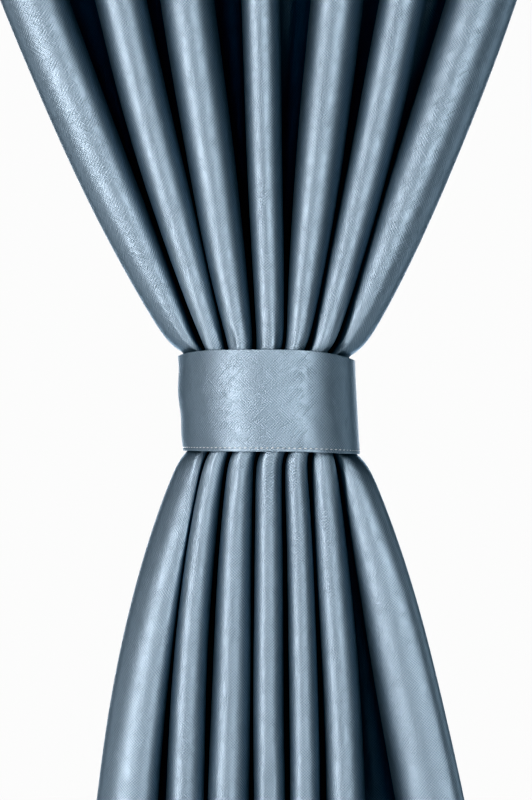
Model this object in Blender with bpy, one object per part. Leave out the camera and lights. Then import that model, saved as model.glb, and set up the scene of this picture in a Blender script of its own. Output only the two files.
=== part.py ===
"""Blackout curtain panel gathered at its waist by a stitched cloth band.

The panel is one cloth hung in seven deep folds. It hangs by its top edge, is drawn together inside the
band, and spreads again down to its hem. Sizes are in millimetres and are turned to metres as meshes are made.
"""

import math

import bpy
import numpy as np

MM = 0.001

# Heights (h) are measured upwards from the middle of the band.
HEADING_H = 1450.0
HEM_H = -1050.0
GAUGE_H = 396.0
TOP_HEM = 80.0
BOTTOM_HEM = 100.0
HEM_STEP = 1.0

CLOTH = 1.5
HEM_CLOTH = 3.0
BAND_CLOTH = 2.5
CLEARANCE = 0.8

# The band's inside is half an ellipse in front and a flatter half ellipse behind. Its right front is squarer,
# by a power in place of an ellipse's 2, and the folds behind it are a little less so. What lies nearer to its
# sides than the side share of its half width keeps the depth that it has there.
BAND_HALF_WIDTH = 87.0
BAND_FRONT_DEPTH = 84.0
BAND_BACK_DEPTH = 74.0
ELLIPSE_POWER = 2.0
BAND_RIGHT_POWER = 2.8
FOLDS_RIGHT_POWER = 2.4
SIDE_SHARE = 0.98
BAND_TOP_H = 50.0
BAND_BOTTOM_H = -51.0
BAND_LAP = 46.0
TOP_DROP_LEFT = 5.0
TOP_DROP_RIGHT = 10.0
BOTTOM_DROP_RIGHT = 2.0
LEAN_TOP = -1.5
LEAN_BOTTOM = 3.0
BAND_STEPS = 56
BAND_LEVELS = 5

# How far from the band folds round its edge, spread sideways, grow round, come level and leave its oval behind.
ROLL = 8.0
SPREAD_UP = 1200.0
ROUND_OUT = 150.0
COME_LEVEL = 160.0
LEAVE_BAND = 120.0
# How far forward the fronts of the middle folds stand, away from the band.
FREE_FRONT_Y = -52.0

# Between which depths a valley's centre is looked for, by halving the way so many times.
SHALLOWEST_VALLEY = -40.0
DEEPEST_VALLEY = 160.0
HALVINGS = 40
# The cloth of an outermost fold from its front to its side edge, how much its outer wall leans inwards, and how
# the side edge curls in behind.
OUTER_CLOTH = 128.0
OUTER_CLOTH_IN_BAND = 62.0
OUTER_LEAN = math.radians(6)
OUTER_LEAN_IN_BAND = math.radians(14)
SHORTEST_WALL = 2.0
CURL_RADIUS = 14.0
CURL_TURN = math.radians(55)

# One row for each front fold, from left to right: where its round front stands inside the band, just above
# it, at the upper gauge height, just below it and at the lower gauge height, and how far down it takes to
# settle; then its half widths there and at the top edge and the hem, and how far down it takes to fill out.
FOLD_COLUMNS = (
    "band_x", "up_x", "upper_x", "down_x", "lower_x", "settle",
    "band_r", "up_r", "upper_r", "heading_r", "down_r", "lower_r", "hem_r", "round_down",
)
FOLD_ROWS = (
    (-73.0, -82.0, -231.5, -75.0, -141.5, 300.0, 11.4, 14.0, 35.0, 38.0, 11.5, 32.0, 36.0, 220.0),
    (-50.5, -52.0, -147.5, -51.0, -83.0, 170.0, 10.6, 10.5, 26.5, 34.0, 10.5, 19.5, 20.5, 220.0),
    (-26.0, -26.3, -80.0, -26.5, -39.5, 220.0, 12.4, 12.4, 27.8, 35.0, 12.6, 21.5, 20.5, 200.0),
    (2.0, 2.6, -7.0, 0.5, 1.0, 300.0, 12.8, 13.6, 19.5, 30.0, 13.0, 16.3, 19.0, 250.0),
    (27.3, 28.4, 68.0, 26.5, 37.5, 250.0, 10.5, 10.6, 27.3, 34.0, 11.2, 15.5, 17.5, 150.0),
    (50.2, 52.7, 135.5, 53.5, 77.5, 350.0, 10.6, 12.0, 24.5, 33.0, 12.8, 20.5, 25.0, 150.0),
    (72.3, 79.5, 212.0, 82.0, 161.0, 700.0, 11.2, 13.0, 36.0, 38.0, 14.0, 34.5, 38.0, 150.0),
)
FOLDS = [dict(zip(FOLD_COLUMNS, row)) for row in FOLD_ROWS]
# A row for each valley: how round its turn is, as a share of its neighbours' half widths, and the cloth from the
# crest before it, round the valley, to the next crest.
VALLEY_ROWS = ((0.80, 285.0), (0.88, 275.0), (0.84, 270.0), (0.90, 270.0), (0.82, 275.0), (0.86, 325.0))
# At most how round a valley may be, as a share of the way between its crests, so that valleys stay apart.
ROUNDEST_VALLEY = 0.38

# The outermost folds: how far forward the big round of their outer side stands in the band, how far forward
# their front comes away from it and over which length, and the big round's radius in the band. Then, above and
# below the band: its radius just outside the band and far from it, the turn in degrees at which it ends far from
# the band, the turn at which the small inner round ends, how much bigger than that one's the radius of the
# flatter front between them gets, and the length over which these change.
TURN_NEAR_BAND = 30.0
OUTER_FOLDS = {
    "left": {"band_y": -10.0, "front_y": -56.0, "come_level": 160.0, "band_round": 30.0,
             "up": (34.0, 32.0, 27.0, -5.0, 20.0, 120.0), "down": (34.0, 42.0, 30.0, -5.0, 0.0, 30.0)},
    "right": {"band_y": -27.0, "front_y": -64.0, "come_level": 40.0, "band_round": 28.0,
              "up": (28.0, 36.0, 30.0, -5.0, 0.0, 150.0), "down": (38.0, 14.0, 6.0, -30.0, 21.0, 190.0)},
}

# Rows of the cloth's mesh, closer together where the folds enter the band.
ROW_HEIGHTS = (
    HEADING_H, HEADING_H - TOP_HEM + HEM_STEP, HEADING_H - TOP_HEM - HEM_STEP, 1150.0, 900.0, 680.0, 500.0,
    GAUGE_H, 300.0, 220.0, 160.0, 115.0, 85.0, 62.0, 51.0, 48.0, 44.0, 39.0, 14.0, -14.0, -36.0, -51.0, -53.0,
    -59.0, -70.0, -95.0, -135.0, -200.0, -290.0, -GAUGE_H, -560.0, -760.0,
    HEM_H + BOTTOM_HEM + HEM_STEP, HEM_H + BOTTOM_HEM - HEM_STEP, HEM_H,
)
# Steps of the mesh round each curve. An outermost fold has them for its inner round, its flatter front and its
# outer round.
CREST_STEPS = 5
VALLEY_STEPS = 4
OUTER_STEPS = (3, 2, 3)
CURL_STEPS = 2
# The step in height by which a slanting fold's length is added up.
RISE_STEP = 50.0

CLOTH_COLOUR = (0.17, 0.26, 0.34, 1.0)
CLOTH_ROUGHNESS = 0.42


def clear_scene():
    for thing in list(bpy.data.objects):
        bpy.data.objects.remove(thing)


def smooth(share):
    share = min(1.0, max(0.0, share))
    return share * share * (3 - 2 * share)


def settled(distance, length, gauge):
    """0 at the band's edge and 1 at the gauge distance, levelling off over the settling length."""
    return (1 - math.exp(-distance / length)) / (1 - math.exp(-gauge / length))


def band_lean(h):
    """How far to the right the band and what is in it stand at this height."""
    down = (BAND_TOP_H - h) / (BAND_TOP_H - BAND_BOTTOM_H)
    down = min(1.0, max(0.0, down))
    return LEAN_TOP + (LEAN_BOTTOM - LEAN_TOP) * down**2


def band_top(x):
    """Height of the band's top edge, which droops towards both sides."""
    share = min(1.0, abs(x) / BAND_HALF_WIDTH)
    drop = TOP_DROP_LEFT * share**6 if x < 0 else TOP_DROP_RIGHT * share**3
    return BAND_TOP_H - drop


def band_bottom(x):
    share = min(1.0, max(0.0, x / BAND_HALF_WIDTH))
    return BAND_BOTTOM_H - BOTTOM_DROP_RIGHT * share**2


def ellipse_y(x, margin, depth, power=ELLIPSE_POWER):
    """Depth of a half ellipse that lies this margin inside the band, at an across position."""
    share = min(SIDE_SHARE, abs(x) / (BAND_HALF_WIDTH - margin))
    return (depth - margin) * (1 - share**power) ** (1 / power)


def above_or_below(fold, h):
    """(distance outside the band, True above it), with distance 0 inside the band."""
    top, bottom = band_top(fold["band_x"]), band_bottom(fold["band_x"])
    if h >= 0:
        return max(0.0, h - top), True
    return max(0.0, bottom - h), False


def fold_front(fold, h):
    """(across position, half width) of a fold's round front at a height."""
    away, above = above_or_below(fold, h)
    roll = 1 - math.exp(-away / ROLL)
    near_x, near_r = (fold["up_x"], fold["up_r"]) if above else (fold["down_x"], fold["down_r"])
    x = fold["band_x"] + band_lean(h) * (1 - roll) + (near_x - fold["band_x"]) * roll
    r = fold["band_r"] + (near_r - fold["band_r"]) * roll
    if above:
        gauge = GAUGE_H - band_top(fold["band_x"])
        x += (fold["upper_x"] - near_x) * settled(away, SPREAD_UP, gauge)
        r += (fold["upper_r"] - near_r) * settled(away, ROUND_OUT, gauge)
        r += (fold["heading_r"] - fold["upper_r"]) * smooth((h - GAUGE_H) / (HEADING_H - GAUGE_H))
    else:
        gauge = GAUGE_H + band_bottom(fold["band_x"])
        x += (fold["lower_x"] - near_x) * settled(away, fold["settle"], gauge)
        r += (fold["lower_r"] - near_r) * settled(away, fold["round_down"], gauge)
        r += (fold["hem_r"] - fold["lower_r"]) * smooth((-GAUGE_H - h) / (-GAUGE_H - HEM_H))
    return x, r


def middle_fold(fold, h):
    """(centre x, centre y, radius) of the cloth's mid surface round a middle fold's crest."""
    x, r = fold_front(fold, h)
    away, _ = above_or_below(fold, h)
    power = FOLDS_RIGHT_POWER if fold["band_x"] > 0 else ELLIPSE_POWER
    in_band = -ellipse_y(fold["band_x"], fold["band_r"] + CLEARANCE, BAND_FRONT_DEPTH, power)
    free = FREE_FRONT_Y + r
    y = in_band + (free - in_band) * (1 - math.exp(-away / COME_LEVEL))
    return x, y, r - CLOTH / 2


def outer_fold(fold, h, side):
    """The rounds of an outermost fold, each as (centre x, centre y, radius, turn at which it ends).

    They are the small inner round, the flatter front and the big outer round, with x measured outwards.
    """
    sign = -1 if side == "left" else 1
    x, r = fold_front(fold, h)
    away, above = above_or_below(fold, h)
    outer = OUTER_FOLDS[side]
    near_round, far_round, far_turn, flat_turn, flatter, length = outer["up" if above else "down"]
    near = outer["band_round"] + (near_round - outer["band_round"]) * (1 - math.exp(-away / ROLL))
    far_share = 1 - math.exp(-away / length)
    big = near + (far_round - near) * far_share
    turn = math.radians(TURN_NEAR_BAND + (far_turn - TURN_NEAR_BAND) * far_share)
    flat_turn = math.radians(flat_turn)
    extra = flatter * far_share
    flat_width = extra * (math.sin(turn) - math.sin(flat_turn))
    small = (2 * r - big * (1 - math.sin(turn)) - flat_width) / (1 + math.sin(turn))
    flat = small + extra
    big_x = sign * x + r - big
    free = outer["front_y"] + big
    big_y = outer["band_y"] + (free - outer["band_y"]) * (1 - math.exp(-away / outer["come_level"]))
    flat_x = big_x + (big - flat) * math.sin(turn)
    flat_y = big_y - (big - flat) * math.cos(turn)
    small_x = flat_x + extra * math.sin(flat_turn)
    small_y = flat_y - extra * math.cos(flat_turn)
    half = CLOTH / 2
    return (
        (small_x, small_y, small - half, flat_turn),
        (flat_x, flat_y, flat - half, turn),
        (big_x, big_y, big - half, None),
    )


def wall_angle(across, deep, radii):
    """Turn, from facing across, of the straight wall between a crest's round and a valley's round."""
    return math.atan2(deep, across) + math.asin(min(1.0, radii / math.hypot(across, deep)))


def half_fold_length(across, deep, radii):
    """Cloth from a crest's front to a valley's back, round both and along the wall between."""
    straight = math.sqrt(max(0.0, across * across + deep * deep - radii * radii))
    return radii * wall_angle(across, deep, radii) + straight


def valley_depth(left, right, x, radius, fold_cloth):
    """Depth of the valley's centre that uses the fold's own length of cloth."""
    low, high = SHALLOWEST_VALLEY, DEEPEST_VALLEY
    for _ in range(HALVINGS):
        middle = (low + high) / 2
        cloth = 0.0
        for crest_x, crest_y, crest_radius in (left, right):
            cloth += half_fold_length(abs(x - crest_x), middle - crest_y, crest_radius + radius)
        low, high = (middle, high) if cloth < fold_cloth else (low, middle)
    return (low + high) / 2


def crests_at(h):
    """The crest circles (x, y, radius) of all folds, then the rounds of the left and the right outermost."""
    left = outer_fold(FOLDS[0], h, "left")
    right = outer_fold(FOLDS[-1], h, "right")
    crests = [(-left[0][0], left[0][1], left[0][2])]
    crests += [middle_fold(fold, h) for fold in FOLDS[1:-1]]
    crests += [right[0][:3]]
    return crests, left, right


def valleys_at(h, crests):
    """The valley circles (x, y, radius) between neighbouring crests."""
    fronts = [fold_front(fold, h) for fold in FOLDS]
    valleys = []
    for number, (share, fold_cloth) in enumerate(VALLEY_ROWS):
        (left_x, left_r), (right_x, right_r) = fronts[number], fronts[number + 1]
        x = (left_x + left_r + right_x - right_r) / 2
        apart = crests[number + 1][0] - crests[number][0]
        radius = min(share * (left_r + right_r) / 2, ROUNDEST_VALLEY * apart) - CLOTH / 2
        away = sum(above_or_below(fold, h)[0] for fold in FOLDS[number:number + 2]) / 2
        in_band = ellipse_y(x - band_lean(h), radius + CLOTH / 2 + CLEARANCE, BAND_BACK_DEPTH)
        free = valley_depth(crests[number], crests[number + 1], x, radius, fold_cloth)
        held = math.exp(-away / LEAVE_BAND)
        valleys.append((x, held * in_band + (1 - held) * free, radius))
    return valleys


def arc(centre_x, centre_y, radius, start, end, steps):
    """Points round a circle, by the turn of the cloth from facing straight forwards."""
    turns = [start + (end - start) * step / steps for step in range(steps + 1)]
    return [(centre_x + radius * math.sin(turn), centre_y - radius * math.cos(turn)) for turn in turns]


def outer_side(rounds, away, start):
    """An outermost fold from its inner side to the cloth's side edge, with x measured outwards."""
    held = math.exp(-away / LEAVE_BAND)
    wall_turn = math.pi / 2 + OUTER_LEAN_IN_BAND * held + OUTER_LEAN * (1 - held)
    curl = CURL_TURN * (1 - held)
    points = []
    used = CURL_RADIUS * curl
    for (x, y, radius, end), steps in zip(rounds, OUTER_STEPS):
        end = wall_turn if end is None else end
        points += arc(x, y, radius, start, end, steps)[1 if points else 0:]
        used += radius * (end - max(start, 0.0)) if end > 0 else 0.0
        start = end
    cloth = OUTER_CLOTH_IN_BAND * held + OUTER_CLOTH * (1 - held)
    straight = max(SHORTEST_WALL, cloth - used)
    end_x, end_y = points[-1]
    end_x += straight * math.cos(wall_turn)
    end_y += straight * math.sin(wall_turn)
    centre_x = end_x - CURL_RADIUS * math.sin(wall_turn)
    centre_y = end_y + CURL_RADIUS * math.cos(wall_turn)
    return points + arc(centre_x, centre_y, CURL_RADIUS, wall_turn, wall_turn + curl, CURL_STEPS)


def section(h):
    """The cloth's mid line at a height, from its left edge to its right edge, as (x, y) points."""
    crests, left_rounds, right_rounds = crests_at(h)
    valleys = valleys_at(h, crests)
    down_turns, up_turns = [], []
    for number, (x, y, radius) in enumerate(valleys):
        left, right = crests[number], crests[number + 1]
        down_turns.append(wall_angle(x - left[0], y - left[1], left[2] + radius))
        up_turns.append(wall_angle(right[0] - x, y - right[1], right[2] + radius))

    left_away, _ = above_or_below(FOLDS[0], h)
    mirrored = outer_side(left_rounds, left_away, -down_turns[0])
    points = [(-x, y) for x, y in reversed(mirrored)]
    for number, (x, y, radius) in enumerate(valleys):
        down, up = down_turns[number], up_turns[number]
        turns = [down + (-up - down) * step / VALLEY_STEPS for step in range(VALLEY_STEPS + 1)]
        points += [(x - radius * math.sin(turn), y + radius * math.cos(turn)) for turn in turns]
        if number + 1 < len(valleys):
            crest = crests[number + 1]
            points += arc(*crest, -up, down_turns[number + 1], CREST_STEPS)
    right_away, _ = above_or_below(FOLDS[-1], h)
    points += outer_side(right_rounds, right_away, -up_turns[-1])
    return points


def hem_rise():
    """How much higher each fold's hem hangs than the lowest one's, because its cloth runs a slanting way."""
    levels = np.arange(HEADING_H, HEM_H - RISE_STEP, -RISE_STEP)
    rises = []
    for fold in FOLDS:
        xs = np.array([fold_front(fold, h)[0] for h in levels])
        steps = np.hypot(np.diff(xs), np.diff(levels)) - np.abs(np.diff(levels))
        rises.append(float(steps.sum()))
    return [rise - min(rises) for rise in rises]


def cloth_points():
    """Rows of (x, y, z) mid-surface points of the whole panel, in metres, from its top edge to its hem."""
    rises = hem_rise()
    rows = []
    for h in ROW_HEIGHTS:
        crest_xs = [fold_front(fold, h)[0] for fold in FOLDS]
        share = smooth((-GAUGE_H - h) / (-GAUGE_H - HEM_H))
        row = []
        for x, y in section(h):
            z = h - HEADING_H + share * np.interp(x, crest_xs, rises)
            row.append((x * MM, y * MM, z * MM))
        rows.append(row)
    return rows


def cloth_material(name):
    material = bpy.data.materials.new(name)
    material.use_nodes = True
    shader = material.node_tree.nodes["Principled BSDF"]
    shader.inputs["Base Color"].default_value = CLOTH_COLOUR
    shader.inputs["Roughness"].default_value = CLOTH_ROUGHNESS
    shader.inputs["Metallic"].default_value = 0.0
    return material


def sheet_object(name, rows, thickness, material):
    """A cloth of this thickness on rows of mid-surface points, with its grid in the mesh."""
    columns = len(rows[0])
    vertices = [point for row in rows for point in row]
    faces = [
        (r * columns + c, (r + 1) * columns + c, (r + 1) * columns + c + 1, r * columns + c + 1)
        for r in range(len(rows) - 1)
        for c in range(columns - 1)
    ]
    mesh = bpy.data.meshes.new(name)
    mesh.from_pydata(vertices, [], faces)
    mesh.materials.append(material)
    mesh.shade_smooth()
    thing = bpy.data.objects.new(name, mesh)
    bpy.context.collection.objects.link(thing)
    solid = thing.modifiers.new("cloth thickness", "SOLIDIFY")
    solid.thickness = thickness * MM
    solid.offset = 0.0
    solid.use_even_offset = True
    return thing, solid


def make_panel():
    """The curtain's one cloth, with its top and bottom hems twice as thick."""
    rows = cloth_points()
    panel, solid = sheet_object("panel", rows, HEM_CLOTH, cloth_material("panel cloth"))
    hems = panel.vertex_groups.new(name="hems")
    columns = len(rows[0])
    for number, h in enumerate(ROW_HEIGHTS):
        if h > HEADING_H - TOP_HEM or h < HEM_H + BOTTOM_HEM:
            hems.add(range(number * columns, (number + 1) * columns), 1.0, "REPLACE")
    solid.vertex_group = hems.name
    solid.thickness_vertex_group = CLOTH / HEM_CLOTH


def band_line():
    """(x, y) along the band's mid line, from its end behind, round the front, to its lap over itself."""
    lap_turn = BAND_LAP / 2 / BAND_HALF_WIDTH
    full_turn = 2 * math.pi
    line = []
    for step in range(BAND_STEPS + 1):
        turn = -lap_turn + (full_turn + 2 * lap_turn) * step / BAND_STEPS
        over_itself = smooth((turn - full_turn + 3 * lap_turn) / (2 * lap_turn))
        outwards = BAND_CLOTH / 2 + (BAND_CLOTH + CLEARANCE) * over_itself
        across, deep = -math.sin(turn), math.cos(turn)
        depth = BAND_BACK_DEPTH if deep > 0 else BAND_FRONT_DEPTH
        bend = 2 / (BAND_RIGHT_POWER if across > 0 > deep else ELLIPSE_POWER)
        x = (BAND_HALF_WIDTH + outwards) * math.copysign(abs(across) ** bend, across)
        line.append((x, (depth + outwards) * math.copysign(abs(deep) ** bend, deep)))
    return line


def make_band():
    """The tie: a doubled cloth strip wrapped once round the gathered folds, its ends lapped behind."""
    rows = []
    for level in range(BAND_LEVELS):
        share = level / (BAND_LEVELS - 1)
        row = []
        for x, y in band_line():
            h = band_top(x) + (band_bottom(x) - band_top(x)) * share
            row.append(((x + band_lean(h)) * MM, y * MM, (h - HEADING_H) * MM))
        rows.append(row)
    sheet_object("tie_band", rows, BAND_CLOTH, cloth_material("band cloth"))


def main():
    clear_scene()
    make_panel()
    make_band()


main()
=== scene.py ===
import math

import bpy
import numpy as np
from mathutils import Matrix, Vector


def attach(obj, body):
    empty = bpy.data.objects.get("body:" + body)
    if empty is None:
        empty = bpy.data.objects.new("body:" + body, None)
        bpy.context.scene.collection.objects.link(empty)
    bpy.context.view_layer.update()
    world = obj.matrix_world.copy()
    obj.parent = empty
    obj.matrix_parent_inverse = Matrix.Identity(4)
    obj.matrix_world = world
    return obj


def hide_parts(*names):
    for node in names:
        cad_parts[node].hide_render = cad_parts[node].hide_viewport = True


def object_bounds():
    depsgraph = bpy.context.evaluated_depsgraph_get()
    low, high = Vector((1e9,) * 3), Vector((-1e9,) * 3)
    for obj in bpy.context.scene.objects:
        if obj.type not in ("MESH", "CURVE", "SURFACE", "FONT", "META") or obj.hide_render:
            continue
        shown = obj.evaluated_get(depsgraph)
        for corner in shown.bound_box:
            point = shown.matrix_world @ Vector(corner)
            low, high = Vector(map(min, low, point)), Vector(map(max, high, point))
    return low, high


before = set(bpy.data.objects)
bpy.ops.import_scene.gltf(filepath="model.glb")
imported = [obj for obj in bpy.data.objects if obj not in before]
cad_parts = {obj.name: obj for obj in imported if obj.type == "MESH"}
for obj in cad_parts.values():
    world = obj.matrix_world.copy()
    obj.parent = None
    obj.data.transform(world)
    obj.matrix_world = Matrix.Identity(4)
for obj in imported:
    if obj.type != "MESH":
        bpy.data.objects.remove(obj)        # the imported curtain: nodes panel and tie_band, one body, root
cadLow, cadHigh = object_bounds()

mm = 0.001
print("curtain: frame loaded")


def clearSelection():
    if bpy.context.object and bpy.context.object.mode != "OBJECT":
        bpy.ops.object.mode_set(mode="OBJECT")
    bpy.ops.object.select_all(action="DESELECT")


def pick(piece):
    clearSelection()
    piece.select_set(True)
    bpy.context.view_layer.objects.active = piece


def smoothStep(share):
    share = min(1.0, max(0.0, share))
    return share * share * (3 - 2 * share)


# the band's oval, in millimetres; heights called h are measured up from the band's middle
band = {
    "middleZ": -1450.0,
    "halfWidth": 87.0,        # inside the cloth
    "frontDepth": 84.0,
    "backDepth": 74.0,
    "rightPower": 2.8,        # its right front is squarer than an ellipse, which has 2
    "foldsPower": 2.4,        # and the folds behind it a little less so
    "top": 50.0,
    "bottom": -51.0,
    "dropLeft": (5.0, 6),     # how far the top edge droops at its sides, and how suddenly
    "dropRight": (10.0, 3),
    "bottomDrop": (3.5, 2),   # the bottom edge, on its right
    "leanTop": -1.5,          # the band leans a little to the right on its way down
    "leanBottom": 3.6,
    "cloth": 2.5,
    "clearance": 0.8,
    "lap": 46.0,
    "steps": 260,             # round it
    "rows": ((0, 3, 5), (5, 92, 34), (94, 101, 15)),        # first, last and number, down from its top edge
    "edgeRound": 0.9,
    "hem": 3.6,               # stitch line above the bottom edge
}


def bandLean(h):
    down = min(1.0, max(0.0, (band["top"] - h) / (band["top"] - band["bottom"])))
    return band["leanTop"] + (band["leanBottom"] - band["leanTop"]) * down**2


def bandTop(x):
    share = min(1.0, abs(x) / band["halfWidth"])
    drop, power = band["dropLeft"] if x < 0 else band["dropRight"]
    return band["top"] - drop * share**power


def bandBottom(x):
    share = min(1.0, max(0.0, x / band["halfWidth"]))
    drop, power = band["bottomDrop"]
    return band["bottom"] - drop * share**power


def ovalY(x, margin, depth, power=2.0):
    # how deep the oval reaches at x, a margin inside it
    share = min(0.98, abs(x) / (band["halfWidth"] - margin))
    return (depth - margin) * (1 - share**power) ** (1 / power)


# the curtain's one cloth, in millimetres
curtain = {
    "topH": 1450.0,
    "hemH": -1050.0,
    "gaugeH": 396.0,          # where the fold table's upper and lower sizes hold
    "topHem": 80.0,
    "bottomHem": 100.0,
    "hemStep": 1.0,
    "cloth": 1.5,
    "hemCloth": 3.0,
    "roll": 8.0,              # how far from the band a fold takes to round its edge
    "spreadUp": 1200.0,
    "roundUp": 150.0,
    "comeLevel": 160.0,       # how far it takes to come out to its own front
    "leaveBand": 120.0,
    "frontY": -52.0,
    "outerCloth": 128.0,      # cloth from an outer fold's front to the side edge
    "outerClothInBand": 62.0,
    "outerLean": math.radians(6),
    "outerLeanInBand": math.radians(14),
    "curlRadius": 14.0,
    "curlTurn": math.radians(55),
    "turnNear": 30.0,         # where an outer fold's big round ends at the band, in degrees
    "leastStraight": 2.0,     # cloth between that round and the curl at the side edge
    "roundestValley": 0.38,   # of the way from crest to crest
    "valleyReach": (-40.0, 160.0),       # how far forward and back a valley is looked for
    "valleyHalvings": 36,
    "sway": 0.7,              # slow wander of the folds
    "swayWaves": ((1.0, 83.0, 2.4), (0.55, 41.0, 4.1)),      # share, length and shift from fold to fold
    "swayFade": 170.0,
    "swayDepth": 2.0,         # how much more they wander in depth
    "swayRound": 0.012,
    "crestSteps": 20,
    "outerSteps": (8, 6, 10),
    "outerCrest": 11,         # which step of an outer fold faces the room
    "valleySteps": 12,
    "wallSteps": 3,
    "sideSteps": 14,
    "softenings": 2,
    "finestRow": 2.6,
    "coarsestRow": 26.0,
    "rowGrowth": 0.055,
    "hiddenRows": 1.5,        # how much farther apart they stand behind the band
    "hiddenFrom": 12.0,       # starting this far inside its edges
}

# a row for each front fold, left to right: its place across inside the band, just above it, at the upper
# gauge, just below it and at the lower gauge, how far down it settles, its half widths, and how far down it
# fills out
foldColumns = (
    "bandX", "upX", "upperX", "downX", "lowerX", "settle",
    "bandR", "upR", "upperR", "headR", "downR", "lowerR", "hemR", "roundDown",
)
foldRows = (
    (-73.0, -82.0, -231.5, -75.0, -141.5, 300.0, 11.4, 14.0, 35.0, 38.0, 11.5, 32.0, 36.0, 220.0),
    (-50.5, -52.0, -147.5, -51.0, -83.0, 170.0, 10.6, 10.5, 26.5, 34.0, 10.5, 19.5, 20.5, 220.0),
    (-26.0, -26.3, -80.0, -26.5, -39.5, 220.0, 12.4, 12.4, 27.8, 35.0, 12.6, 21.5, 20.5, 200.0),
    (2.0, 2.6, -7.0, 0.5, 1.0, 300.0, 12.8, 13.6, 19.5, 30.0, 13.0, 16.3, 19.0, 250.0),
    (27.3, 28.4, 68.0, 26.5, 37.5, 250.0, 10.5, 10.6, 27.3, 34.0, 11.2, 15.5, 17.5, 150.0),
    (50.2, 52.7, 135.5, 53.5, 77.5, 350.0, 10.6, 12.0, 24.5, 33.0, 12.8, 20.5, 25.0, 150.0),
    (72.3, 79.5, 212.0, 82.0, 161.0, 700.0, 11.2, 13.0, 36.0, 38.0, 14.0, 34.5, 38.0, 150.0),
)
folds = [dict(zip(foldColumns, row), number=number) for number, row in enumerate(foldRows)]
# for each valley how round it is and the cloth from crest to crest
valleyRows = ((0.80, 285.0), (0.88, 275.0), (0.84, 270.0), (0.90, 270.0), (0.82, 275.0), (0.86, 325.0))
# the outermost folds: where the big round of their outer side stands in the band and how they come forward;
# then above and below the band its radius near and far, the turn where it ends far off, the turn where the
# small inner round ends, how much bigger the flatter front between them is, and over what length it changes
outerFolds = {
    "left": {"bandY": -10.0, "frontY": -56.0, "comeLevel": 160.0, "bandRound": 30.0,
             "up": (34.0, 32.0, 27.0, -5.0, 20.0, 120.0), "down": (26.0, 42.0, 30.0, -5.0, 22.0, 30.0)},
    "right": {"bandY": -27.0, "frontY": -64.0, "comeLevel": 40.0, "bandRound": 28.0,
              "up": (28.0, 36.0, 30.0, -5.0, 0.0, 150.0), "down": (25.0, 14.0, 6.0, -30.0, 21.0, 190.0)},
}


def awayFromBand(fold, h):
    if h >= 0:
        return max(0.0, h - bandTop(fold["bandX"])), True
    return max(0.0, bandBottom(fold["bandX"]) - h), False


def settled(distance, length, gauge):
    # 0 at the band, 1 at the gauge height
    return (1 - math.exp(-distance / length)) / (1 - math.exp(-gauge / length))


def sway(number, h, away):
    # each number wanders in its own way
    wander = 0.0
    for share, length, shift in curtain["swayWaves"]:
        wander += share * math.sin(h / length + shift * number)
    return curtain["sway"] * wander * (1 - math.exp(-away / curtain["swayFade"]))


def foldFront(fold, h):
    away, above = awayFromBand(fold, h)
    roll = 1 - math.exp(-away / curtain["roll"])
    side = "up" if above else "down"
    x = fold["bandX"] + bandLean(h) * (1 - roll) + (fold[side + "X"] - fold["bandX"]) * roll
    r = fold["bandR"] + (fold[side + "R"] - fold["bandR"]) * roll
    if above:
        gauge = curtain["gaugeH"] - bandTop(fold["bandX"])
        x += (fold["upperX"] - fold["upX"]) * settled(away, curtain["spreadUp"], gauge)
        r += (fold["upperR"] - fold["upR"]) * settled(away, curtain["roundUp"], gauge)
        beyond = (h - curtain["gaugeH"]) / (curtain["topH"] - curtain["gaugeH"])
        r += (fold["headR"] - fold["upperR"]) * smoothStep(beyond)
    else:
        gauge = curtain["gaugeH"] + bandBottom(fold["bandX"])
        x += (fold["lowerX"] - fold["downX"]) * settled(away, fold["settle"], gauge)
        r += (fold["lowerR"] - fold["downR"]) * settled(away, fold["roundDown"], gauge)
        beyond = (-curtain["gaugeH"] - h) / (-curtain["gaugeH"] - curtain["hemH"])
        r += (fold["hemR"] - fold["lowerR"]) * smoothStep(beyond)
    x += sway(fold["number"], h, away)
    r *= 1 + curtain["swayRound"] * sway(fold["number"] + 9, h * 0.8, away)
    return x, r


def middleFold(fold, h):
    x, r = foldFront(fold, h)
    away = awayFromBand(fold, h)[0]
    power = band["foldsPower"] if fold["bandX"] > 0 else 2.0
    inBand = -ovalY(fold["bandX"], fold["bandR"] + band["clearance"], band["frontDepth"], power)
    free = curtain["frontY"] + r + curtain["swayDepth"] * sway(fold["number"] + 5, h, away)
    y = inBand + (free - inBand) * (1 - math.exp(-away / curtain["comeLevel"]))
    return x, y, r - curtain["cloth"] / 2


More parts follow.
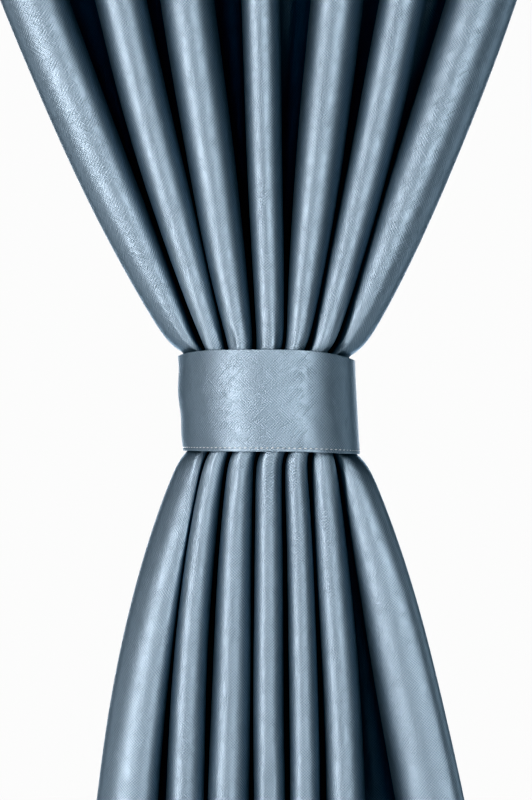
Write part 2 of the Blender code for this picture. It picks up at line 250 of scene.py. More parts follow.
def outerFold(fold, h, side):
    # small round on its inner side, a flatter front, a big round on its outer side; x measured outwards
    sign = -1 if side == "left" else 1
    x, r = foldFront(fold, h)
    away, above = awayFromBand(fold, h)
    outer = outerFolds[side]
    nearRound, farRound, farTurn, flatTurn, flatter, length = outer["up" if above else "down"]
    near = outer["bandRound"] + (nearRound - outer["bandRound"]) * (1 - math.exp(-away / curtain["roll"]))
    farShare = 1 - math.exp(-away / length)
    big = near + (farRound - near) * farShare
    turn = math.radians(curtain["turnNear"] + (farTurn - curtain["turnNear"]) * farShare)
    flatTurn = math.radians(flatTurn)
    extra = flatter * farShare
    flatWidth = extra * (math.sin(turn) - math.sin(flatTurn))
    small = (2 * r - big * (1 - math.sin(turn)) - flatWidth) / (1 + math.sin(turn))
    flat = small + extra
    bigX = sign * x + r - big
    inBand = outer["bandY"] - outer["bandRound"]
    front = inBand + (outer["frontY"] - inBand) * (1 - math.exp(-away / outer["comeLevel"]))
    bigY = front + big
    flatX = bigX + (big - flat) * math.sin(turn)
    flatY = bigY - (big - flat) * math.cos(turn)
    smallX = flatX + extra * math.sin(flatTurn)
    smallY = flatY - extra * math.cos(flatTurn)
    half = curtain["cloth"] / 2
    inner = (smallX, smallY, small - half, flatTurn)
    return inner, (flatX, flatY, flat - half, turn), (bigX, bigY, big - half, None), away


def wallAngle(across, deep, radii):
    return math.atan2(deep, across) + math.asin(min(1.0, radii / math.hypot(across, deep)))


def halfFoldLength(across, deep, radii):
    straight = math.sqrt(max(0.0, across * across + deep * deep - radii * radii))
    return radii * wallAngle(across, deep, radii) + straight


def valleyDepth(left, right, x, radius, foldCloth):
    # the depth at which the fold uses up its own cloth
    low, high = curtain["valleyReach"]
    for halving in range(curtain["valleyHalvings"]):
        middle = (low + high) / 2
        cloth = 0.0
        for crestX, crestY, crestR in (left, right):
            cloth += halfFoldLength(abs(x - crestX), middle - crestY, crestR + radius)
        if cloth < foldCloth:
            low = middle
        else:
            high = middle
    return middle


def arc(x, y, radius, start, end, steps):
    # a turn of 0 faces the room
    turns = [start + (end - start) * step / steps for step in range(steps + 1)]
    return [(x + radius * math.sin(turn), y - radius * math.cos(turn)) for turn in turns]


def between(first, last, steps):
    return [
        (first[0] + (last[0] - first[0]) * step / steps, first[1] + (last[1] - first[1]) * step / steps)
        for step in range(1, steps)
    ]


def outerSide(rounds, away, start):
    # an outer fold from its inner wall round to the side edge, on the right hand
    held = math.exp(-away / curtain["leaveBand"])
    lean = curtain["outerLeanInBand"] * held + curtain["outerLean"] * (1 - held)
    wall = math.pi / 2 + lean
    curl = curtain["curlTurn"] * (1 - held)
    points = []
    used = curtain["curlRadius"] * curl
    for (x, y, radius, end), steps in zip(rounds, curtain["outerSteps"]):
        end = wall if end is None else end
        points += arc(x, y, radius, start, end, steps)[1 if points else 0:]
        used += radius * (end - max(start, 0.0)) if end > 0 else 0.0
        start = end
    cloth = curtain["outerClothInBand"] * held + curtain["outerCloth"] * (1 - held)
    straight = max(curtain["leastStraight"], cloth - used)
    corner = points[-1]
    turnX = corner[0] + straight * math.cos(wall) - curtain["curlRadius"] * math.sin(wall)
    turnY = corner[1] + straight * math.sin(wall) + curtain["curlRadius"] * math.cos(wall)
    length = straight + curtain["curlRadius"] * curl
    for step in range(1, curtain["sideSteps"] + 1):
        along = length * step / curtain["sideSteps"]
        if along <= straight:
            points.append((corner[0] + along * math.cos(wall), corner[1] + along * math.sin(wall)))
        else:
            turn = wall + (along - straight) / curtain["curlRadius"]
            x = turnX + curtain["curlRadius"] * math.sin(turn)
            points.append((x, turnY - curtain["curlRadius"] * math.cos(turn)))
    return points


def valleyPlaces(crests, h):
    fronts = [foldFront(fold, h) for fold in folds]
    valleys = []
    for number, (share, foldCloth) in enumerate(valleyRows):
        (leftX, leftR), (rightX, rightR) = fronts[number], fronts[number + 1]
        x = (leftX + leftR + rightX - rightR) / 2
        apart = crests[number + 1][0] - crests[number][0]
        radius = min(share * (leftR + rightR) / 2, curtain["roundestValley"] * apart) - curtain["cloth"] / 2
        away = (awayFromBand(folds[number], h)[0] + awayFromBand(folds[number + 1], h)[0]) / 2
        margin = radius + curtain["cloth"] / 2 + band["clearance"]
        inBand = ovalY(x - bandLean(h), margin, band["backDepth"])
        free = valleyDepth(crests[number], crests[number + 1], x, radius, foldCloth)
        held = math.exp(-away / curtain["leaveBand"])
        valleys.append((x, held * inBand + (1 - held) * free, radius))
    return valleys


def clothSection(h):
    # the cloth's mid line at a height from its left edge to its right edge, and the columns of the crests
    *left, leftAway = outerFold(folds[0], h, "left")
    *right, rightAway = outerFold(folds[-1], h, "right")
    crests = [(-left[0][0], left[0][1], left[0][2])]
    crests += [middleFold(fold, h) for fold in folds[1:-1]]
    crests += [right[0][:3]]
    valleys = valleyPlaces(crests, h)
    downs = [wallAngle(v[0] - c[0], v[1] - c[1], c[2] + v[2]) for c, v in zip(crests, valleys)]
    ups = [wallAngle(c[0] - v[0], v[1] - c[1], c[2] + v[2]) for c, v in zip(crests[1:], valleys)]
    mirrored = outerSide(left, leftAway, -downs[0])
    points = [(-x, y) for x, y in reversed(mirrored)]
    crestColumns = [len(points) - 1 - curtain["outerCrest"]]
    for number, (x, y, radius) in enumerate(valleys):
        turns = np.linspace(downs[number], -ups[number], curtain["valleySteps"] + 1)
        valley = [(x - radius * math.sin(turn), y + radius * math.cos(turn)) for turn in turns]
        points += between(points[-1], valley[0], curtain["wallSteps"]) + valley
        if number + 1 < len(valleys):
            crest = arc(*crests[number + 1], -ups[number], downs[number + 1], curtain["crestSteps"])
        else:
            crest = outerSide(right, rightAway, -ups[number])
        points += between(points[-1], crest[0], curtain["wallSteps"])
        last = number + 1 == len(valleys)
        crestColumns.append(len(points) + (curtain["outerCrest"] if last else curtain["crestSteps"] // 2))
        points += crest
    return np.array(points), crestColumns


def rowHeights():
    # close rows round the band, wide ones far from it, and a step at each hem
    hemTop = curtain["hemH"] + curtain["bottomHem"]
    headBottom = curtain["topH"] - curtain["topHem"]
    step = curtain["hemStep"]
    stops = [curtain["hemH"], hemTop - step, hemTop + step]
    stops += [headBottom - step, headBottom + step, curtain["topH"]]
    heights = []
    for low, high in zip(stops, stops[1:]):
        h = low
        run = []
        while h < high - 1e-6:
            run.append(h)
            away = max(0.0, abs(h) - band["top"])
            h += min(curtain["coarsestRow"], curtain["finestRow"] + curtain["rowGrowth"] * away)
            if abs(h) < band["top"] - curtain["hiddenFrom"]:
                h += curtain["finestRow"] * curtain["hiddenRows"]
        run = np.array(run + [h])
        heights += list((low + (run - low) * (high - low) / (h - low))[:-1])
    return heights + [curtain["topH"]]


def hemRise():
    # a slanting fold's hem hangs higher, because its cloth has further to go
    step = 50.0
    levels = np.arange(curtain["topH"], curtain["hemH"] - step, -step)
    rises = []
    for fold in folds:
        xs = np.array([foldFront(fold, h)[0] for h in levels])
        rises.append(float((np.hypot(np.diff(xs), np.diff(levels)) - np.abs(np.diff(levels))).sum()))
    return [rise - min(rises) for rise in rises]


def soften(rows, passes):
    # rounds the joins of arcs and walls across the cloth
    for each in range(passes):
        inner = rows[:, 1:-1] * 0.5 + (rows[:, :-2] + rows[:, 2:]) * 0.25
        rows = np.concatenate([rows[:, :1], inner, rows[:, -1:]], axis=1)
    return rows


def gridNormals(points):
    along = np.gradient(points, axis=0)
    across = np.gradient(points, axis=1)
    normals = np.cross(across, along)
    return normals / np.linalg.norm(normals, axis=2, keepdims=True)


# pinches where the folds enter the band: two crossing waves, which fade away from it
pinches = {
    "depth": 0.38,
    "waves": ((1.0, 9.5, 19.0, 0.0), (0.6, 15.0, -27.0, 1.0)),       # share, length, slant and shift
    "facing": 1.6,            # how far round the folds' sides they reach
    "start": 48.0,
    "setIn": 4.0,
    "fade": 24.0,
}

# small soft troughs (negative) and ridges: across, h, half width, half height, turn, depth
softMarks = (
    (-37.0, 60.0, 5.0, 11.0, 22.0, -2.0),
    (-61.0, -78.0, 5.0, 16.0, -12.0, -1.2),
    (-36.0, -80.0, 4.0, 14.0, -6.0, -1.2),
    (2.0, -392.0, 5.0, 18.0, 0.0, -2.2),
)


def markDepth(marks, x, h):
    depth = np.zeros_like(x)
    for across, height, halfWidth, halfHeight, turn, amount in marks:
        angle = math.radians(turn)
        dx, dh = x - across, h - height
        u = dx * math.cos(angle) + dh * math.sin(angle)
        v = -dx * math.sin(angle) + dh * math.cos(angle)
        depth = depth + amount * np.exp(-((u / halfWidth) ** 2) - (v / halfHeight) ** 2)
    return depth


def creases(points, lengths):
    # on the cloth's front alone, along its own normals
    normals = gridNormals(points)
    front = np.clip(-normals[:, :, 1] * pinches["facing"], 0, 1)
    x, h = points[:, :, 0], points[:, :, 2]
    away = np.maximum(0, np.abs(h) - pinches["start"])
    fade = np.exp(-away / pinches["fade"]) * (1 - np.exp(-away / pinches["setIn"]))
    wave = np.zeros_like(h)
    for share, length, slant, shift in pinches["waves"]:
        wave += share * np.sin(2 * math.pi * lengths / length + h / slant + shift)
    depth = pinches["depth"] * wave * fade + markDepth(softMarks, x, h)
    return points + normals * (depth * front)[:, :, None]


def clothPoints():
    # the cloth's grid in metres, and its own flat coordinates: along the width, and the height
    rises = hemRise()
    heights = rowHeights()
    rows, lengths = [], []
    crestRuns = np.concatenate([[0], np.cumsum([cloth for share, cloth in valleyRows])])
    for h in heights:
        line, crestColumns = clothSection(h)
        crestXs = [foldFront(fold, h)[0] for fold in folds]
        share = smoothStep((-curtain["gaugeH"] - h) / (-curtain["gaugeH"] - curtain["hemH"]))
        z = h + share * np.interp(line[:, 0], crestXs, rises)
        rows.append(np.column_stack([line[:, 0], line[:, 1], z]))
    points = soften(np.array(rows), curtain["softenings"])
    for row in points:
        run = np.concatenate([[0], np.cumsum(np.hypot(*np.diff(row[:, :2], axis=0).T))])
        anchors = run[crestColumns]        # the crests keep their own place on the cloth
        material = np.interp(run, anchors, crestRuns)
        material = np.where(run < anchors[0], run - anchors[0], material)
        material = np.where(run > anchors[-1], crestRuns[-1] + run - anchors[-1], material)
        lengths.append(material)
    lengths = np.array(lengths)
    points = creases(points, lengths)
    uv = np.stack([lengths, np.repeat(np.array(heights)[:, None], points.shape[1], axis=1)], axis=2)
    points[:, :, 2] += band["middleZ"]
    return points * mm, uv * mm, np.array(heights)


def clothGrid(name, points, uv):
    rows, columns = points.shape[:2]
    clearSelection()
    bpy.ops.mesh.primitive_grid_add(x_subdivisions=columns - 1, y_subdivisions=rows - 1, size=1.0)
    piece = bpy.context.object
    piece.name = piece.data.name = name
    piece.data.vertices.foreach_set("co", points.reshape(-1))
    corners = np.empty(len(piece.data.loops), dtype=np.int32)
    piece.data.loops.foreach_get("vertex_index", corners)
    piece.data.uv_layers.active.data.foreach_set("uv", uv.reshape(-1, 2)[corners].reshape(-1))
    piece.data.update()
    return piece


def thicken(piece, thickness, group=None, factor=1.0):
    pick(piece)
    bpy.ops.object.modifier_add(type="SOLIDIFY")
    solid = piece.modifiers[-1]
    solid.thickness = thickness * mm
    solid.offset = 0.0
    solid.use_even_offset = True
    solid.use_quality_normals = True
    if group:
        solid.vertex_group = group
        solid.thickness_vertex_group = factor
    bpy.ops.object.modifier_apply(modifier=solid.name)


def makePanel():
    points, uv, heights = clothPoints()
    piece = clothGrid("curtainCloth", points, uv)
    columns = points.shape[1]
    hems = piece.vertex_groups.new(name="hems")
    for number, h in enumerate(heights):
        if h > curtain["topH"] - curtain["topHem"] or h < curtain["hemH"] + curtain["bottomHem"]:
            hems.add(range(number * columns, (number + 1) * columns), 1.0, "REPLACE")
    thicken(piece, curtain["hemCloth"], "hems", curtain["cloth"] / curtain["hemCloth"])
    bpy.ops.object.shade_smooth()
    print("curtain: cloth", points.shape, len(piece.data.polygons), "faces")
    return piece, points


panel, panelPoints = makePanel()


# the band: one strip round the folds, its ends lapped behind, a stitched hem along its lower edge; how its
# cloth stands out, in millimetres
bandCloth = {
    "crown": 0.7,             # how much fuller it is halfway up
    "buckles": ((0.12, 12.0, 21.0, 0.0), (0.1, 19.0, -17.0, 1.4)),       # height, length, slant and shift
    "endWaves": (0.7, 7.5, 0.6),       # height, length and shift of the waves on its left end
    "leftEnd": (-92.0, 12.0),          # where that end is, and how far the waves reach
    "groove": (-0.35, 0.9),            # depth and half width, under the stitches
    "lip": (0.2, 2.0, 1.6),            # height, place above the bottom edge and half width
    "facing": 3.0,            # how far round its sides the marks reach
}
# the band's marks, listed as the curtain's are
bandMarks = (
    (56.0, -24.0, 9.0, 15.0, 20.0, -0.45),
    (45.0, -36.0, 7.0, 9.0, -30.0, 0.3),
)


def bandOutline(levels):
    # rows of points from the bottom edge up, each once round and past its own start
    full = 2 * math.pi
    lapTurn = band["lap"] / 2 / band["halfWidth"]
    rows = []
    for level in levels:
        row = []
        for step in range(band["steps"] + 1):
            turn = -lapTurn + (full + 2 * lapTurn) * step / band["steps"]
            over = smoothStep((turn - full + 3 * lapTurn) / (2 * lapTurn))
            outwards = band["cloth"] / 2 + (band["cloth"] + band["clearance"]) * over
            across, deep = -math.sin(turn), math.cos(turn)
            depth = band["backDepth"] if deep > 0 else band["frontDepth"]
            bend = 2 / (band["rightPower"] if across > 0 > deep else 2.0)
            x = (band["halfWidth"] + outwards) * math.copysign(abs(across) ** bend, across)
            y = (depth + outwards) * math.copysign(abs(deep) ** bend, deep)
            h = bandTop(x) + (bandBottom(x) - bandTop(x)) * level
            row.append((x + bandLean(h), y, h))
        rows.append(row)
    return np.array(rows)


def bandRelief(x, h, fromBottom):
    upShare = np.clip((h - band["bottom"]) / (band["top"] - band["bottom"]), 0, 1)
    relief = bandCloth["crown"] * np.sin(upShare * math.pi)
    for height, length, slant, shift in bandCloth["buckles"]:
        relief = relief + height * np.sin(x / length + h / slant + shift)
    height, length, shift = bandCloth["endWaves"]
    end, reach = bandCloth["leftEnd"]
    relief += height * np.sin(h / length + shift) * np.exp(-(((x - end) / reach) ** 2))
    depth, half = bandCloth["groove"]
    relief += depth * np.exp(-(((fromBottom - band["hem"]) / half) ** 2))
    height, place, half = bandCloth["lip"]
    return relief + height * np.exp(-(((fromBottom - place) / half) ** 2))


def bandPoints():
    depth = band["top"] - band["bottom"]
    levels = np.concatenate([np.linspace(*run) for run in band["rows"]])[::-1] / depth
    points = bandOutline(levels)
    normals = gridNormals(points)
    x, h = points[:, :, 0], points[:, :, 2]
    fromBottom = (1 - levels)[:, None] * depth + 0 * x
    front = np.clip(-normals[:, :, 1] * bandCloth["facing"], 0, 1)
    relief = bandRelief(x, h, fromBottom) + front * markDepth(bandMarks, x, h)
    points = points + normals * relief[:, :, None]
    run = np.concatenate([[0], np.cumsum(np.linalg.norm(np.diff(points[0], axis=0), axis=1))])
    uv = np.stack([np.repeat(run[None, :], len(points), axis=0), h], axis=2)
    points[:, :, 2] += band["middleZ"]
    return points * mm, uv * mm, fromBottom


def makeBand():
    points, uv, fromBottom = bandPoints()
    piece = clothGrid("tieBandCloth", points, uv)
    thicken(piece, band["cloth"])
    bpy.ops.object.modifier_add(type="BEVEL")
    edge = piece.modifiers[-1]
    edge.width = band["edgeRound"] * mm
    edge.segments = 3
    edge.limit_method = "ANGLE"
    edge.angle_limit = math.radians(50)
    bpy.ops.object.modifier_apply(modifier=edge.name)
    bpy.ops.object.shade_smooth()
    print("curtain: band", points.shape, len(piece.data.polygons), "faces")
    return piece, points, fromBottom


tieBand, bandGrid, bandFromBottom = makeBand()


# sewing: short slanted stitches along a line of the cloth
sewing = {
    "pitch": 5.4,
    "length": 3.1,
    "radius": 0.34,
    "slant": math.radians(5),
    "proud": 0.12,
    "inside": 4.0,            # from a hem's edge
}


def oneStitch():
    clearSelection()
    bpy.ops.mesh.primitive_uv_sphere_add(segments=6, ring_count=5, radius=1.0)
    stitch = bpy.context.object
    shape = np.array([v.co[:] for v in stitch.data.vertices])
    faces = [tuple(face.vertices) for face in stitch.data.polygons]
    bpy.ops.object.delete()
    size = np.array([sewing["length"] / 2, sewing["radius"], sewing["radius"]])
    return shape[:, [2, 0, 1]] * size * mm, faces


def sewAlong(name, line, outwards, faceOut):
    # line and outwards run along the seam, in metres; faceOut is from the mid surface to the face
    run = np.concatenate([[0], np.cumsum(np.linalg.norm(np.diff(line, axis=0), axis=1))])
    count = int(run[-1] / (sewing["pitch"] * mm))
    shape, faces = oneStitch()

    def along(values, at):
        return np.array([np.interp(at, run, values[:, k]) for k in range(3)])

    vertices, allFaces = [], []
    for number in range(count):
        at = (number + 0.5) * sewing["pitch"] * mm
        centre = along(line, at)
        ahead = along(line, at + 0.5 * mm) - centre
        out = along(outwards, at)
        out /= np.linalg.norm(out)
        ahead -= out * ahead.dot(out)
        ahead /= np.linalg.norm(ahead)
        side = np.cross(out, ahead)
        turned = ahead * math.cos(sewing["slant"]) + side * math.sin(sewing["slant"])
        across = np.cross(out, turned)
        centre = centre + out * (faceOut + sewing["proud"]) * mm
        start = len(vertices)
        vertices += [tuple(centre + turned * a + across * b + out * c) for a, b, c in shape]
        allFaces += [tuple(start + corner for corner in face) for face in faces]
    mesh = bpy.data.meshes.new(name)
    mesh.from_pydata(vertices, [], allFaces)
    piece = bpy.data.objects.new(name, mesh)
    bpy.context.collection.objects.link(piece)
    pick(piece)
    bpy.ops.object.shade_smooth()
    return piece


def makeSewing():
    pieces = []
    bandNormals = gridNormals(bandGrid)
    row = int(np.argmin(np.abs(bandFromBottom[:, 0] - band["hem"])))
    pieces.append(sewAlong("tieBandSewing", bandGrid[row], bandNormals[row], band["cloth"] / 2))
    normals = gridNormals(panelPoints)
    heights = (panelPoints[:, 0, 2] / mm) - band["middleZ"]
    bottomLevel = curtain["hemH"] + curtain["bottomHem"] - sewing["inside"]
    topLevel = curtain["topH"] - curtain["topHem"] + sewing["inside"]
    for name, level in (("bottomHemSewing", bottomLevel), ("topHemSewing", topLevel)):
        row = int(np.argmin(np.abs(heights - level)))
        pieces.append(sewAlong(name, panelPoints[row], normals[row], curtain["hemCloth"] / 2))
    print("curtain: sewing done")
    return pieces


sewingPieces = makeSewing()


# materials: satin with a fine hatching, sizes in millimetres, and the thread
satin = {
    "colour": (0.194, 0.255, 0.309),
    "deep": (0.112, 0.172, 0.228),
    "rough": (0.45, 0.53),
    "metallic": 0.88,
    "edge": (0.46, 0.55, 0.64),
    "hatchPitch": 2.1,
    "patch": 18.0,
    "panelBump": 0.085,
    "bandBump": 0.102,
    "grain": 1.8,
    "specks": 720.0,          # in a metre
    "unlike": 0.73,           # how unlike each other neighbouring lines are
    "lineFade": 0.16,         # how soon a line fades along its length
    "lineRange": (0.36, 0.6, 0.05, 1.0),         # the noise's range, and the strengths it gives
    "patchRange": (0.38, 0.6, 0.5, 1.0),
    "toneShare": 0.42,        # how much the hatching shades the colour
    "thread": (0.52, 0.60, 0.66),
    "threadRough": 0.5,
    "threadShade": 0.8,
    "threadTwist": 2500.0,
}


def addNode(tree, kind, x, y, **settings):
    made = tree.nodes.new(kind)
    made.location = (x, y)
    for key, value in settings.items():
        setattr(made, key, value)
    return made


def mathNode(tree, operation, x, y, first, second=None, clamp=False):
    made = addNode(tree, "ShaderNodeMath", x, y, operation=operation, use_clamp=clamp)
    for socket, value in zip(made.inputs, (first, second)):
        if value is None:
            continue
        if isinstance(value, (int, float)):
            socket.default_value = value
        else:
            tree.links.new(value, socket)
    return made.outputs[0]


def makeHatchGroup():
    # satin's broken diagonal cross hatching: straight fine lines both ways that fade in and out in patches
    group = bpy.data.node_groups.new("diagonalHatch", "ShaderNodeTree")
    group.interface.new_socket("Vector", in_out="INPUT", socket_type="NodeSocketVector")
    for name, value in (("Threads per metre", 500.0), ("Patches per metre", 60.0), ("Grain", 1.0)):
        group.interface.new_socket(name, in_out="INPUT", socket_type="NodeSocketFloat").default_value = value
    for name in ("Height", "Patch", "Tone"):
        group.interface.new_socket(name, in_out="OUTPUT", socket_type="NodeSocketFloat")
    start = addNode(group, "NodeGroupInput", -1600, 0)
    end = addNode(group, "NodeGroupOutput", 1100, 0)
    threads = start.outputs["Threads per metre"]

    def noise(x, y, vector, scale, detail):
        made = addNode(group, "ShaderNodeTexNoise", x, y)
        made.inputs["Detail"].default_value = detail
        group.links.new(vector, made.inputs["Vector"])
        if isinstance(scale, (int, float)):
            made.inputs["Scale"].default_value = scale
        else:
            group.links.new(scale, made.inputs["Scale"])
        return made.outputs["Fac"]

    def ranged(x, y, value, limits):
        made = addNode(group, "ShaderNodeMapRange", x, y)
        for name, number in zip(("From Min", "From Max", "To Min", "To Max"), limits):
            made.inputs[name].default_value = number
        group.links.new(value, made.inputs["Value"])
        return made.outputs[0]

    def lines(turn, y):
        # each line comes and goes along its own length
        turned = addNode(group, "ShaderNodeMapping", -1400, y)
        turned.inputs["Rotation"].default_value = (0, 0, math.radians(turn))
        turned.inputs["Location"].default_value = (5.0, 5.0, 0)
        group.links.new(start.outputs["Vector"], turned.inputs["Vector"])
        parts = addNode(group, "ShaderNodeSeparateXYZ", -1200, y)
        group.links.new(turned.outputs[0], parts.inputs[0])
        across = mathNode(group, "MULTIPLY", -1000, y, parts.outputs["X"], threads)
        along = mathNode(group, "MULTIPLY", -1000, y - 200, parts.outputs["Y"], threads)
        wave = mathNode(group, "SINE", -600, y, mathNode(group, "MULTIPLY", -800, y, across, 2 * math.pi))
        line = mathNode(group, "FLOOR", -800, y - 150, mathNode(group, "ADD", -900, y - 150, across, 0.25))
        place = addNode(group, "ShaderNodeCombineXYZ", -600, y - 200)
        apart = mathNode(group, "MULTIPLY", -700, y - 150, line, satin["unlike"])
        slow = mathNode(group, "MULTIPLY", -800, y - 250, along, satin["lineFade"])
        group.links.new(apart, place.inputs["X"])
        group.links.new(slow, place.inputs["Y"])
        comeAndGo = noise(-400, y - 200, place.outputs[0], 1.0, 1.0)
        strength = ranged(-200, y - 200, comeAndGo, satin["lineRange"])
        return mathNode(group, "MULTIPLY", 0, y, wave, strength)

    patch = noise(-800, -900, start.outputs["Vector"], start.outputs["Patches per metre"], 1.0)
    shift = addNode(group, "ShaderNodeMapping", -1200, -1100)
    shift.inputs["Location"].default_value = (0.37, 0.11, 0)
    group.links.new(start.outputs["Vector"], shift.inputs["Vector"])
    otherPatch = noise(-800, -1150, shift.outputs[0], start.outputs["Patches per metre"], 1.0)
    risingShare = ranged(-600, -900, patch, satin["patchRange"])
    fallingShare = ranged(-600, -1150, otherPatch, satin["patchRange"])
    rising = mathNode(group, "MULTIPLY", 200, 300, lines(45, 300), risingShare)
    falling = mathNode(group, "MULTIPLY", 200, -200, lines(-45, -300), fallingShare)
    hatch = mathNode(group, "ADD", 400, 0, rising, falling)
    speck = noise(-800, -1400, start.outputs["Vector"], satin["specks"], 1.0)
    centred = mathNode(group, "SUBTRACT", -400, -1400, speck, 0.5)
    grain = mathNode(group, "MULTIPLY", -200, -1400, centred, start.outputs["Grain"])
    group.links.new(mathNode(group, "ADD", 700, 0, hatch, grain), end.inputs["Height"])
    group.links.new(patch, end.inputs["Patch"])
    tone = mathNode(group, "MULTIPLY", 700, -300, hatch, satin["toneShare"])
    group.links.new(mathNode(group, "ADD", 900, -300, tone, 0.5, clamp=True), end.inputs["Tone"])
    return group


def makeSatin(name, hatchGroup, bumpHeight):
    material = bpy.data.materials.new(name)
    material.use_nodes = True
    tree = material.node_tree
    shader = tree.nodes["Principled BSDF"]
    shader.inputs["Metallic"].default_value = satin["metallic"]
    shader.inputs["Specular Tint"].default_value = (*satin["edge"], 1)
    place = addNode(tree, "ShaderNodeTexCoord", -1000, 0)
    hatch = addNode(tree, "ShaderNodeGroup", -800, 0, node_tree=hatchGroup)
    hatch.inputs["Threads per metre"].default_value = 1 / (satin["hatchPitch"] * mm)
    hatch.inputs["Patches per metre"].default_value = 1 / (satin["patch"] * mm)
    hatch.inputs["Grain"].default_value = satin["grain"]
    tree.links.new(place.outputs["UV"], hatch.inputs["Vector"])
    tone = addNode(tree, "ShaderNodeMix", -400, 200, data_type="RGBA")
    tone.inputs["A"].default_value = (*satin["deep"], 1)
    tone.inputs["B"].default_value = (*satin["colour"], 1)
    tree.links.new(hatch.outputs["Tone"], tone.inputs["Factor"])
    tree.links.new(tone.outputs["Result"], shader.inputs["Base Color"])
    rough = addNode(tree, "ShaderNodeMapRange", -400, -100)
    rough.inputs["To Min"].default_value, rough.inputs["To Max"].default_value = satin["rough"]
    tree.links.new(hatch.outputs["Patch"], rough.inputs["Value"])
    tree.links.new(rough.outputs[0], shader.inputs["Roughness"])
    bump = addNode(tree, "ShaderNodeBump", -400, -400)
    bump.inputs["Distance"].default_value = bumpHeight * mm
    tree.links.new(hatch.outputs["Height"], bump.inputs["Height"])
    tree.links.new(bump.outputs[0], shader.inputs["Normal"])
    return material


def makeThread():
    material = bpy.data.materials.new("polyesterThread")
    material.use_nodes = True
    tree = material.node_tree
    shader = tree.nodes["Principled BSDF"]
    shader.inputs["Roughness"].default_value = satin["threadRough"]
    place = addNode(tree, "ShaderNodeTexCoord", -800, 0)
    ply = addNode(tree, "ShaderNodeTexNoise", -600, 0)
    ply.inputs["Scale"].default_value = satin["threadTwist"]
    tree.links.new(place.outputs["Object"], ply.inputs["Vector"])
    tone = addNode(tree, "ShaderNodeMix", -300, 0, data_type="RGBA")
    tone.inputs["A"].default_value = (*[satin["threadShade"] * v for v in satin["thread"]], 1)
    tone.inputs["B"].default_value = (*satin["thread"], 1)
    tree.links.new(ply.outputs["Fac"], tone.inputs["Factor"])
    tree.links.new(tone.outputs["Result"], shader.inputs["Base Color"])
    return material


hatchGroup = makeHatchGroup()
panelSatin = makeSatin("curtainSatin", hatchGroup, satin["panelBump"])
bandSatin = makeSatin("bandSatin", hatchGroup, satin["bandBump"])
thread = makeThread()
panel.data.materials.append(panelSatin)
tieBand.data.materials.append(bandSatin)
for piece in sewingPieces:
    piece.data.materials.append(thread)
print("curtain: materials done")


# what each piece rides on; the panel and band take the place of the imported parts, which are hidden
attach(panel, "root")
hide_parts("panel")
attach(tieBand, "root")
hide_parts("tie_band")
for piece, slot in zip(sewingPieces, ("band_cloth", "cloth", "cloth")):
    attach(piece, "root")


# floor, lights and camera, in metres
studio = {
    "floorDrop": 0.015,
    "floorSize": 24.0,
    "floorBack": 4.8,         # no farther behind the curtain, to stay out of the picture
    "floorEven": 0.97,        # how much of the floor's brightness is even, without the lights' pools
    "floorGlow": 0.53,
    "floorSeen": (0.926, 0.93, 0.93),
    "floorRough": 0.8,
    "pale": (0.86, 0.86, 0.87),
    "surround": 0.018,
    "surroundColour": (0.15, 0.5, 1.0),
    "background": 0.615,
    "backgroundColour": (0.915, 0.925, 0.928),
    # each light's azimuth in degrees, distance, width, height, power, colour and height above the band
    "keySoftbox": (-43, 3.0, 0.71, 3.1, 91.5, (1.0, 0.838, 0.752), 0.55),
    "lowSoftbox": (-43, 1.6, 0.38, 0.5, 3.9, (1.0, 0.838, 0.752), -0.75),
    "frontSoftbox": (20, 3.2, 0.74, 3.1, 82.5, (1.0, 0.865, 0.785), 0.55),
    "rightSoftbox": (104, 2.4, 1.2, 2.0, 13.0, (1.0, 0.90, 0.83), 0.0),
    "leftSoftbox": (-110, 2.4, 1.2, 2.0, 11.5, (1.0, 0.85, 0.765), 0.0),
    "behindSoftbox": (180, 2.4, 2.4, 2.1, 80.0, (1.0, 0.93, 0.88), 0.0),
}


def softbox(name):
    azimuth, distance, width, height, power, colour, above = studio[name]
    angle = math.radians(azimuth)
    x, y = distance * math.sin(angle), -distance * math.cos(angle)
    middle = band["middleZ"] * mm
    bpy.ops.object.light_add(type="AREA", location=(x, y, middle + above))
    lamp = bpy.context.object
    lamp.name = name
    lamp.data.shape = "RECTANGLE"
    lamp.data.size, lamp.data.size_y = width, height
    lamp.data.energy = power
    lamp.data.color = colour
    towards = Vector((0, 0, middle)) - lamp.location
    lamp.rotation_euler = towards.to_track_quat("-Z", "Y").to_euler()
    lamp.visible_camera = False


def makePaleFloor():
    # the camera sees it nearly even, and the curtain is lit by it as by a plain pale one
    pale = bpy.data.materials.new("paleFloor")
    pale.use_nodes = True
    tree = pale.node_tree
    shader = tree.nodes["Principled BSDF"]
    shader.inputs["Base Color"].default_value = (*studio["pale"], 1)
    shader.inputs["Roughness"].default_value = studio["floorRough"]
    glow = addNode(tree, "ShaderNodeEmission", -200, -300)
    glow.inputs["Color"].default_value = (*studio["floorSeen"], 1)
    glow.inputs["Strength"].default_value = studio["floorGlow"]
    path = addNode(tree, "ShaderNodeLightPath", -400, 300)
    share = mathNode(tree, "MULTIPLY", -200, 300, path.outputs["Is Camera Ray"], studio["floorEven"])
    blend = addNode(tree, "ShaderNodeMixShader", 200, 0)
    tree.links.new(share, blend.inputs["Fac"])
    tree.links.new(shader.outputs[0], blend.inputs[1])
    tree.links.new(glow.outputs[0], blend.inputs[2])
    tree.links.new(blend.outputs[0], tree.nodes["Material Output"].inputs["Surface"])
    return pale


def makeFloor():
    clearSelection()
    floorZ = cadLow.z - studio["floorDrop"]
    floorY = studio["floorBack"] - studio["floorSize"] / 2
    bpy.ops.mesh.primitive_plane_add(size=studio["floorSize"], location=(0, floorY, floorZ))
    floor = bpy.context.object
    floor.name = "studioFloor"
    floor.data.materials.append(makePaleFloor())


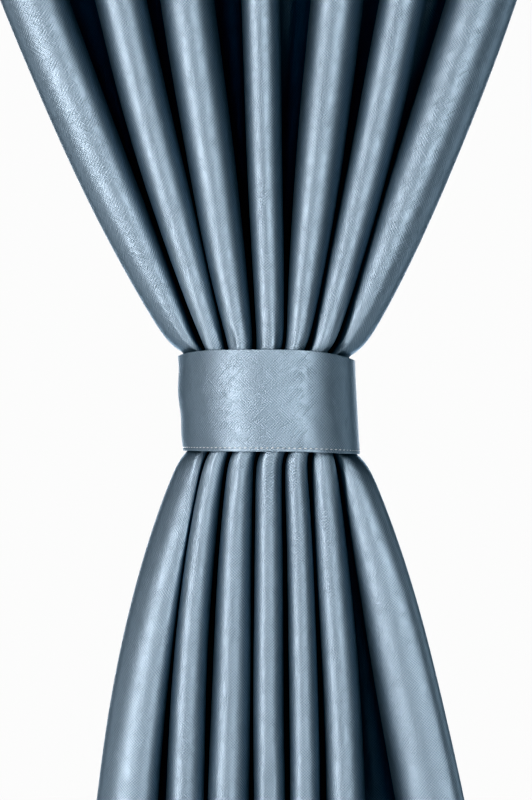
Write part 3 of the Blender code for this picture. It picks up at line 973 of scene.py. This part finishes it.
def makeSurround():
    # the camera sees a plain pale background, and the curtain a dim one
    world = bpy.data.worlds.new("studioSurround")
    bpy.context.scene.world = world
    world.use_nodes = True
    tree = world.node_tree
    surround = tree.nodes["Background"]
    surround.inputs["Color"].default_value = (*studio["surroundColour"], 1)
    surround.inputs["Strength"].default_value = studio["surround"]
    seen = addNode(tree, "ShaderNodeBackground", 0, -200)
    seen.inputs["Color"].default_value = (*studio["backgroundColour"], 1)
    seen.inputs["Strength"].default_value = studio["background"]
    path = addNode(tree, "ShaderNodeLightPath", -200, 300)
    blend = addNode(tree, "ShaderNodeMixShader", 300, 0)
    tree.links.new(path.outputs["Is Camera Ray"], blend.inputs["Fac"])
    tree.links.new(surround.outputs[0], blend.inputs[1])
    tree.links.new(seen.outputs[0], blend.inputs[2])
    tree.links.new(blend.outputs[0], tree.nodes["World Output"].inputs["Surface"])


# the camera stands level with the band's middle; the picture is 0.8 m high at the folds' fronts
view = {"distance": 3.0, "planeY": -0.045, "frameHeight": 0.8, "sensor": 36.0, "middleX": -0.002}


def makeCamera():
    data = bpy.data.cameras.new("photoCamera")
    data.sensor_width = view["sensor"]
    data.lens = view["sensor"] * view["distance"] / view["frameHeight"]
    camera = bpy.data.objects.new("photoCamera", data)
    bpy.context.collection.objects.link(camera)
    camera.location = (view["middleX"], view["planeY"] - view["distance"], band["middleZ"] * mm)
    camera.rotation_euler = (math.radians(90), 0, 0)
    bpy.context.scene.camera = camera


# the picture's contrast, and a black point that cools its shadows
grade = {"look": "Very High Contrast", "black": (0.012, 0.0065, 0.0045), "white": (0.97, 0.985, 0.99)}


def gradePicture():
    settings = bpy.context.scene.view_settings
    settings.view_transform = "Standard"
    settings.look = grade["look"]
    settings.use_curve_mapping = True
    settings.curve_mapping.black_level = grade["black"]
    settings.curve_mapping.white_level = grade["white"]
    settings.curve_mapping.update()


makeFloor()
for lamp in ("keySoftbox", "lowSoftbox", "frontSoftbox", "rightSoftbox", "leftSoftbox", "behindSoftbox"):
    softbox(lamp)
makeSurround()
makeCamera()
gradePicture()
print("curtain: studio ready")
